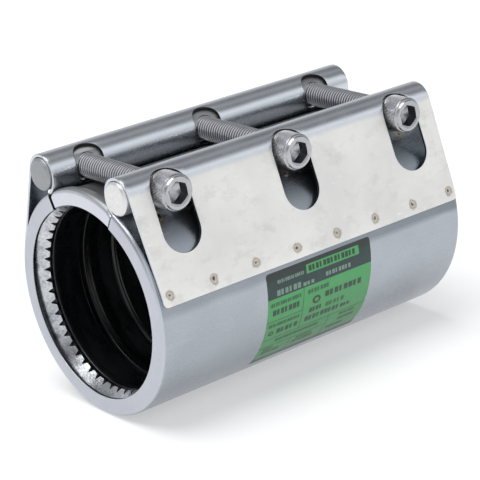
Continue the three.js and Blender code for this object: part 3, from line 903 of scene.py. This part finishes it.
def sleeve():
    """The rubber sleeve: end faces that follow the grip rings, and lips that reach towards the pipe."""
    half = [
        (88.2, 51.0), (END_FACE_X, END_FACE_R), (END_FACE_X, 45.7), (82.5, 45.3), (70.2, 45.0),
        (69.0, 45.0), (68.6, 45.6), (70.0, 48.4), (67.2, 49.2), (65.4, 46.1), (64.7, 46.0), (61.0, 48.4),
        (55.6, 48.4), (49.7, 46.1), (49.0, 46.1), (48.2, 47.0), (47.2, 45.7), (46.4, 45.7), (45.4, 47.2),
        (30.0, 47.4), (10.0, 47.4),
    ]
    inner = rounded(half, 0.9)
    inner += [(-x, r) for x, r in inner[::-1]]
    degs = full_turn(2.5)
    outlines = []
    for deg in degs:
        under_bridge = smooth((BRIDGE_HALF_DEG + 3 - abs(deg - 90)) / 2)
        under_r = bridge_middle_r(deg) - BRIDGE_SHEET - SLEEVE_GAP
        outer = mix(SLEEVE_R, under_r, under_bridge)
        end_x = END_FACE_X + (outer - END_FACE_R) * END_FACE_LEAN[0] / END_FACE_LEAN[1]
        outlines.append([(end_x, outer)] + [p for p in inner if p[1] < outer] + [(-end_x, outer)])

    # All rings get as many points as the shortest outline: the longer ones lose some beside their corners
    count = min(len(outline) for outline in outlines)
    rings = []
    for deg, outline in zip(degs, outlines):
        extra = len(outline) - count
        front, rear = extra // 2, extra - extra // 2
        kept = outline[:1] + outline[1 + front:len(outline) - 1 - rear] + outline[-1:]
        rings.append(about_x(kept, deg))
    shape = Shape()
    shape.loft(rings, closed_path=True)
    made = shape.to_object("sleeve", [rubber_material()], sharp_deg=50)
    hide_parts("seal_sleeve")
    flexing(made)


# ---- bars and screws

def bar_blank(half):
    """A bar about the X axis, this long to each side, with rounded chamfers at both ends."""
    profile = [(-half, 0.05), (-half, BAR_R - 1.5), (-half + 0.08, BAR_R - 0.95),
               (-half + 0.85, BAR_R - 0.12), (-half + 1.15, BAR_R)]
    profile += [(-x, r) for x, r in profile[::-1]]
    shape = Shape()
    rings = [[(x, *polar(r, deg)) for deg in full_turn(3.75)] for x, r in profile]
    shape.loft(rings, caps=(True, True))
    return shape


def cutter(x, profile, size):
    """A round cutter along Y through a bar at x, from (y, radius) points."""
    shape = Shape()
    rings = [[(across, y, up) for across, up in arc(x, 0, r, full_turn(size))] for y, r in profile]
    shape.loft(rings, caps=(True, True))
    return shape.to_object("cutter", [])


def hole_cutter(x, radius):
    """A hole with a chamfer at both of the bar's sides."""
    reach = 6.0
    side = [(BAR_R - HOLE_CHAMFER, radius), (BAR_R + reach, radius + HOLE_CHAMFER + reach * 0.9)]
    return cutter(x, [(-y, r) for y, r in side[::-1]] + side, 6)


def spot_face_cutter(x):
    face_y = HEAD_Y + HEAD_HEIGHT + BAR_Y + SEAT_GAP
    return cutter(x, ((-2 * BAR_R, SPOT_FACE_R), (face_y, SPOT_FACE_R)), 5)


def cut(target, cutters):
    """Takes the cutters' shapes out of target, and leaves it as a plain mesh."""
    for tool in cutters:
        modifier = target.modifiers.new("cut", "BOOLEAN")
        modifier.operation = "DIFFERENCE"
        modifier.solver = "EXACT"
        modifier.object = tool
    bpy.context.view_layer.update()
    evaluated = target.evaluated_get(bpy.context.evaluated_depsgraph_get())
    mesh = bpy.data.meshes.new_from_object(evaluated)
    target.modifiers.clear()
    target.data = mesh
    for tool in cutters:
        bpy.data.objects.remove(tool)
    shade(mesh, 25)


def lock_bar(node, material, hole_r, spot_faces):
    made = bar_blank(half_span(node, 0)).to_object(node + "_turned", [material], sharp_deg=25)
    cutters = []
    for screw in SCREWS:
        cutters.append(hole_cutter(middle(screw, 0), hole_r))
        if spot_faces:
            cutters.append(spot_face_cutter(middle(screw, 0)))
    cut(made, cutters)
    made.data.transform(Matrix.Translation((0, middle(node, 1) * MM, middle(node, 2) * MM)))
    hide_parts(node)
    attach(made, node)


def hexagon_radius(deg):
    """Distance from the socket's axis to its wall, with a corner every 60 degrees."""
    off = ((deg + SOCKET_TURN_DEG) % 60) - 30
    return SOCKET_FLAT_R / math.cos(math.radians(off))


def screw_head():
    """The knurled socket head, about the Y axis.

    Socket rings are (depth from the head's face, radius, share of hexagon), and outer rings are (depth,
    distance inside the knurls' outer radius, share of knurl).
    """
    socket = ((SOCKET_DEPTH + 1.2, 0.05, 0), (SOCKET_DEPTH, 4.6, 0), (SOCKET_DEPTH - 0.2, 5.0, 1),
              (0.9, 5.0, 1), (0.42, 5.3, 0.75), (0.05, 6.1, 0), (0, 6.3, 0))
    outer = ((0, 1.5, 0), (0.12, 1.25, 0), (0.4, 1.1, 0), (0.9, 0.8, 0), (1.1, 0.45, 0), (1.5, 0.15, 0),
             (1.9, 0.05, 0.2), (2.3, 0, 1), (6.0, 0, 1), (HEAD_HEIGHT - 1.0, 0, 1),
             (HEAD_HEIGHT - 0.7, 0.05, 0.2), (HEAD_HEIGHT - 0.35, 0.1, 0), (HEAD_HEIGHT, 0.4, 0),
             (HEAD_HEIGHT, KNURL_R - SCREW_R + 0.6, 0))
    rows = [(depth, radius, 0, hexagon) for depth, radius, hexagon in socket]
    rows += [(depth, KNURL_R - inset, knurl, 0) for depth, inset, knurl in outer]
    count = KNURLS * 3
    rings = []
    for depth, radius, knurl, hexagon in rows:
        ring = []
        for i in range(count):
            deg = 360 * i / count
            r = mix(radius, hexagon_radius(deg), hexagon)
            if i % 3:
                r -= KNURL_DEPTH * knurl
            across, up = polar(r, deg)
            ring.append((across, HEAD_Y + depth, up))
        rings.append(ring)
    shape = Shape()
    shape.loft(rings, caps=(True, True))
    for i, face in enumerate(shape.faces):
        depths = [shape.points[k][1] - HEAD_Y for k in face]
        wide = max(math.hypot(shape.points[k][0], shape.points[k][2]) for k in face)
        # The socket's walls get its painted shade.
        if wide < 6 and 0.4 < min(depths) < SOCKET_DEPTH - 0.5:
            shape.slots[i] = SOCKET_SHADE
        elif wide > KNURL_R - 0.2 and min(depths) > 1.6:
            shape.slots[i] = KNURLED
    return shape


def thread_depth_at(phase):
    """Depth below the crest at this phase of the pitch. The root is about as narrow as the crest."""
    distance = abs(phase - 0.5) * 2
    return THREAD_DEPTH * min(max((distance - CREST_SHARE) / FLANK_SHARE, 0.0), 1.0)


def screw_shank():
    """The fully threaded shank. Each turn climbs one pitch, so the rows follow the helix."""
    first = HEAD_Y + HEAD_HEIGHT - 1.0
    sides, tip_sides, per_pitch = 36, 48, 6
    # Painted shade in the thread's roots and on its flanks, a painted highlight on its crests.
    bands = (ROOT_SHADE, FLANK_SHADE, CREST_HIGHLIGHT, CREST_HIGHLIGHT, FLANK_SHADE, ROOT_SHADE)
    rows = math.ceil((TIP_Y - first) / THREAD_PITCH + 1) * per_pitch
    shape = Shape()
    for j in range(rows + 1):
        thread_r = SCREW_R - thread_depth_at((j / per_pitch) % 1.0)
        for i in range(sides):
            y = first + THREAD_PITCH * (j / per_pitch - i / sides)
            y = min(max(y, first), TIP_Y)
            r = min(thread_r, SCREW_R - TIP_CHAMFER + (TIP_Y - y))
            across, up = polar(r, 360 * i / sides)
            shape.points.append((across, y, up))
    for j in range(rows):
        slot = bands[j % per_pitch]
        for i in range(sides):
            a, b = j * sides + i, (j + 1) * sides + i
            if i + 1 < sides:
                shape.add_face((a, a + 1, b + 1, b), slot)
            elif j >= per_pitch:
                c, d = (j - per_pitch) * sides, (j - per_pitch + 1) * sides
                shape.add_face((a, c, d, b), slot)
    tip = arc(0, 0, SCREW_R - TIP_CHAMFER, full_turn(360 / tip_sides))
    start = shape.add_points([(across, TIP_Y, up) for across, up in tip])
    shape.add_face([start + i for i in range(tip_sides)])
    return shape


def screws():
    steels = screw_materials()
    for name in SCREWS:
        shape = screw_head().join(screw_shank())
        made = shape.to_object(name + "_screw", steels, sharp_deg=24)
        made.data.transform(Matrix.Translation((middle(name, 0) * MM, 0, BAR_Z * MM)))
        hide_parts(name)
        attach(made, name)


# ---- label

LABEL_X = span("label", 0)
LABEL_R = CASING_R + 0.05
DEG_PER_MM = math.degrees(1 / LABEL_R)
LABEL_TOP_DEG = 180 - 8.5
LABEL_BOTTOM_DEG = 180 + 48.5
GREEN, PLATE_SHADE, SLATE, INK, PALE, THIN_INK = range(6)
FIELD_LIFT, RULE_LIFT, MARK_LIFT = 0.03, 0.05, 0.07  # each layer of print lies a little higher


def label_patch(shape, u0, u1, v0, v1, lift, slot, corner=0.0):
    """A patch of foil or print. u runs along the label from its left edge and v down from its upper edge."""
    rows = []
    rounding = [v0 + corner * t for t in (0.1, 0.3, 0.6, 1.0)] if corner else []
    for v in sorted(set(steps(v0, v1, 1.5) + rounding)):
        inset = 0.0
        near = v - v0
        if corner and near < corner:
            inset = corner - math.sqrt(max(corner ** 2 - (corner - near) ** 2, 0.0))
        deg = LABEL_TOP_DEG + v * DEG_PER_MM
        rows.append([(LABEL_X[0] + u, *polar(LABEL_R + lift, deg)) for u in (u0 + inset, u1 - inset)])
    shape.loft(rows, closed_rings=False, slot=slot)


def printed_marks(shape, u0, u1, v0, height, slot, pitch):
    """A row of plain blocks of uneven width that stands for a line of print."""
    count = max(1, round((u1 - u0) / pitch))
    for k in range(count):
        left = u0 + (u1 - u0) * k / count
        width = (u1 - u0) / count * (0.82, 0.6, 0.74, 0.5, 0.8)[k % 5]
        label_patch(shape, left, left + width, v0, v0 + height, MARK_LIFT, slot)


def printed_ring(shape, u, v, radius, slot):
    """A bold ring, a little wider than high."""
    rings = []
    for r in (radius, radius * 0.5):
        ring = []
        for across, up in arc(0, 0, r, full_turn(15)):
            turn = LABEL_TOP_DEG + (v - up * 0.85) * DEG_PER_MM
            ring.append((LABEL_X[0] + u + across, *polar(LABEL_R + MARK_LIFT, turn)))
        rings.append(ring)
    shape.loft(rings, slot=slot)


def label():
    """A printed foil: a dark header over a ruled table, with a black strip of painted shade under the plate
    along its top. Plain marks stand for the lines of print.
    """
    shape = Shape()
    width = LABEL_X[1] - LABEL_X[0]
    height = math.radians(LABEL_BOTTOM_DEG - LABEL_TOP_DEG) * LABEL_R
    label_patch(shape, 0, width, 0, height, 0.0, GREEN, corner=1.6)
    # Painted shade: a black strip along the label's top, under the plate's edge.
    label_patch(shape, 0, width, 0, 4.0, FIELD_LIFT, PLATE_SHADE, corner=1.6)
    label_patch(shape, 0, width, 4.0, 13.0, FIELD_LIFT, SLATE)
    label_patch(shape, 0, width, 51.9, height, FIELD_LIFT, SLATE)
    label_patch(shape, 24.6, 58.4, 2.1, 6.6, RULE_LIFT, GREEN)
    rules = ((0, 22.2, 25.2), (0, width, 36.4), (0, 42.2, 42.2))
    for left, right, v in rules:
        label_patch(shape, left, right, v, v + 0.3, RULE_LIFT, THIN_INK)
    for u, top, bottom in ((22.2, 13.0, 36.4), (42.2, 36.4, 51.9), (19.6, 42.2, 51.9)):
        label_patch(shape, u, u + 0.35, top, bottom, RULE_LIFT, THIN_INK)
    # Left and right end, upper edge, height, ink and pitch of each line of print
    header = ((6.4, 23.4, 4.4, 1.7, PALE, 1.25), (26.0, 56.5, 2.9, 2.8, INK, 2.3),
              (5.6, 21.0, 9.2, 2.9, PALE, 2.6), (22.0, 29.6, 10.3, 1.9, PALE, 2.5),
              (36.4, 53.0, 9.2, 2.2, PALE, 2.1))
    table = ((1.8, 21.0, 15.2, 2.0, THIN_INK, 1.45), (3.2, 20.6, 19.1, 3.0, INK, 2.5),
             (1.6, 21.0, 27.0, 1.9, THIN_INK, 1.3), (7.4, 21.0, 31.0, 2.9, INK, 2.9),
             (25.0, 39.0, 15.2, 2.2, THIN_INK, 1.9), (36.4, 60.6, 19.4, 3.1, INK, 2.9),
             (27.0, 35.6, 26.0, 2.6, INK, 2.4), (37.6, 50.0, 26.2, 2.5, THIN_INK, 2.4),
             (25.2, 48.0, 30.6, 2.9, INK, 2.6), (48.4, 54.8, 31.3, 2.1, INK, 2.1),
             (8.6, 36.6, 38.2, 1.8, THIN_INK, 1.3), (50.0, 60.6, 38.0, 1.8, THIN_INK, 1.5),
             (3.2, 14.6, 46.0, 2.3, THIN_INK, 1.7), (3.2, 9.4, 43.6, 1.6, THIN_INK, 1.3),
             (22.6, 36.2, 46.2, 2.3, THIN_INK, 1.7), (24.0, 34.4, 43.6, 1.6, THIN_INK, 1.3),
             (44.8, 56.0, 46.2, 2.0, THIN_INK, 1.7))
    for left, right, v, size, slot, pitch in header + table:
        printed_marks(shape, left, right, v, size, slot, pitch)
    label_patch(shape, 50.4, 61.0, 41.6, 43.6, MARK_LIFT, THIN_INK)
    printed_ring(shape, 30.9, 22.0, 2.6, INK)
    printed_ring(shape, 3.9, 32.6, 1.6, INK)
    colours = [("label_green", (0.055, 0.33, 0.10)), ("label_painted_shade", (0.010, 0.020, 0.018)),
               ("label_slate", (0.009, 0.034, 0.033)), ("label_ink", (0.008, 0.045, 0.018)),
               ("label_pale", (0.16, 0.25, 0.20)), ("label_thin_ink", (0.018, 0.11, 0.04))]
    made = shape.to_object("label_foil", [print_material(*c) for c in colours], recalc=False)
    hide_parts("label")
    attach(made, "bolt_side")


# ---- studio

CAMERA_DEG = (-38.24, 19.77, -5.07)  # azimuth, elevation and roll
CAMERA_TARGET = (-2.99, 0.0, 4.46)
CAMERA_DISTANCE = 928.8
CAMERA_LENS = 140.76
FLOOR_HALF = 6.0  # metres


def camera():
    """A long lens from the front left, a little above and slightly rolled."""
    azimuth, elevation, roll = (math.radians(deg) for deg in CAMERA_DEG)
    back = Vector((math.sin(azimuth) * math.cos(elevation), -math.cos(azimuth) * math.cos(elevation),
                   math.sin(elevation)))
    level = back.to_track_quat("Z", "Y").to_matrix().to_4x4()
    place = Matrix.Translation(Vector(CAMERA_TARGET) * MM + back * CAMERA_DISTANCE * MM)
    made = add_object("camera", bpy.data.cameras.new("camera"))
    made.matrix_world = place @ level @ Matrix.Rotation(roll, 4, "Z")
    made.data.lens = CAMERA_LENS
    made.data.sensor_width = 36
    made.data.clip_start = 0.01
    bpy.context.scene.camera = made


def floor():
    """Bright paper just under the lowest point."""
    low = CAD_BOX[0][2] - 0.0002
    mesh = bpy.data.meshes.new("floor")
    corners = ((-1, -1), (1, -1), (1, 1), (-1, 1))
    mesh.from_pydata([(x * FLOOR_HALF, y * FLOOR_HALF, low) for x, y in corners], [], [(0, 1, 2, 3)])
    n = Nodes("floor_paper")
    n.set(Base_Color=(0.6, 0.6, 0.6), Roughness=0.9, Specular_IOR_Level=0.0,
          Emission_Color=(1.0, 1.0, 1.0), Emission_Strength=0.38)
    mesh.materials.append(n.material)
    made = add_object("floor", mesh)


def sun(name, place, strength, spread_deg):
    """A very soft light, as if from a large panel far away in this direction."""
    data = bpy.data.lights.new(name, "SUN")
    data.energy = strength
    data.angle = math.radians(spread_deg)
    made = add_object(name, data)
    made.rotation_euler = (-Vector(place)).to_track_quat("-Z", "Y").to_euler()


# Degrees from the front horizon over the top to the back horizon, and the studio's brightness there
SKY = (
    (-8, 0.92), (0, 0.8), (9, 0.66), (18, 0.74), (27, 0.98), (42, 1.2), (49, 0.93), (56, 0.62), (65, 0.27),
    (76, 0.24), (88, 0.44), (100, 0.40), (112, 0.24), (122, 0.21), (132, 0.27), (140, 0.4), (150, 0.58),
    (160, 0.82), (170, 0.7), (180, 0.5),
)


def studio():
    """Bright panels at the front and back, a dark ceiling and a soft panel straight above."""
    world = bpy.data.worlds.new("studio")
    bpy.context.scene.world = world
    world.use_nodes = True
    n = Tree(world.node_tree)
    parts = n.split(n.add("ShaderNodeTexCoord").outputs["Generated"])
    angle = n.math("ARCTAN2", parts["Z"], n.math("MULTIPLY", parts["Y"], -1.0))
    ramp = n.add("ShaderNodeValToRGB", {"Fac": n.ramp(angle, -math.pi, math.pi)})
    stops = ramp.color_ramp.elements
    while len(stops) < len(SKY):
        stops.new(0.5)
    for stop, (deg, light) in zip(stops, SKY):
        stop.position = (deg + 180) / 360
        stop.color = (light * 0.98, light, light * 1.03, 1)
    n.feed(n.tree.nodes["Background"].inputs["Color"], ramp.outputs["Color"])
    sun("top_panel", (-0.25, 0.1, 1), 2.4, 50)
    view = bpy.context.scene.view_settings
    view.view_transform = "Standard"
    view.look = "None"


camera()
studio()
floor()
casing()
bridge_plate()
grip_rings()
sleeve()
lock_bar("bolt_bar", bar_material("bolt_bar_steel", (0.78, 0.78, 0.77), 0.34), BOLT_HOLE_R, True)
# The nut bar's dark tone is partly its greyer steel and partly painted shade, as it lies inside the loop.
lock_bar("nut_bar", bar_material("nut_bar_steel_and_shade", (0.37, 0.38, 0.39), 0.42), NUT_HOLE_R, False)
screws()
label()
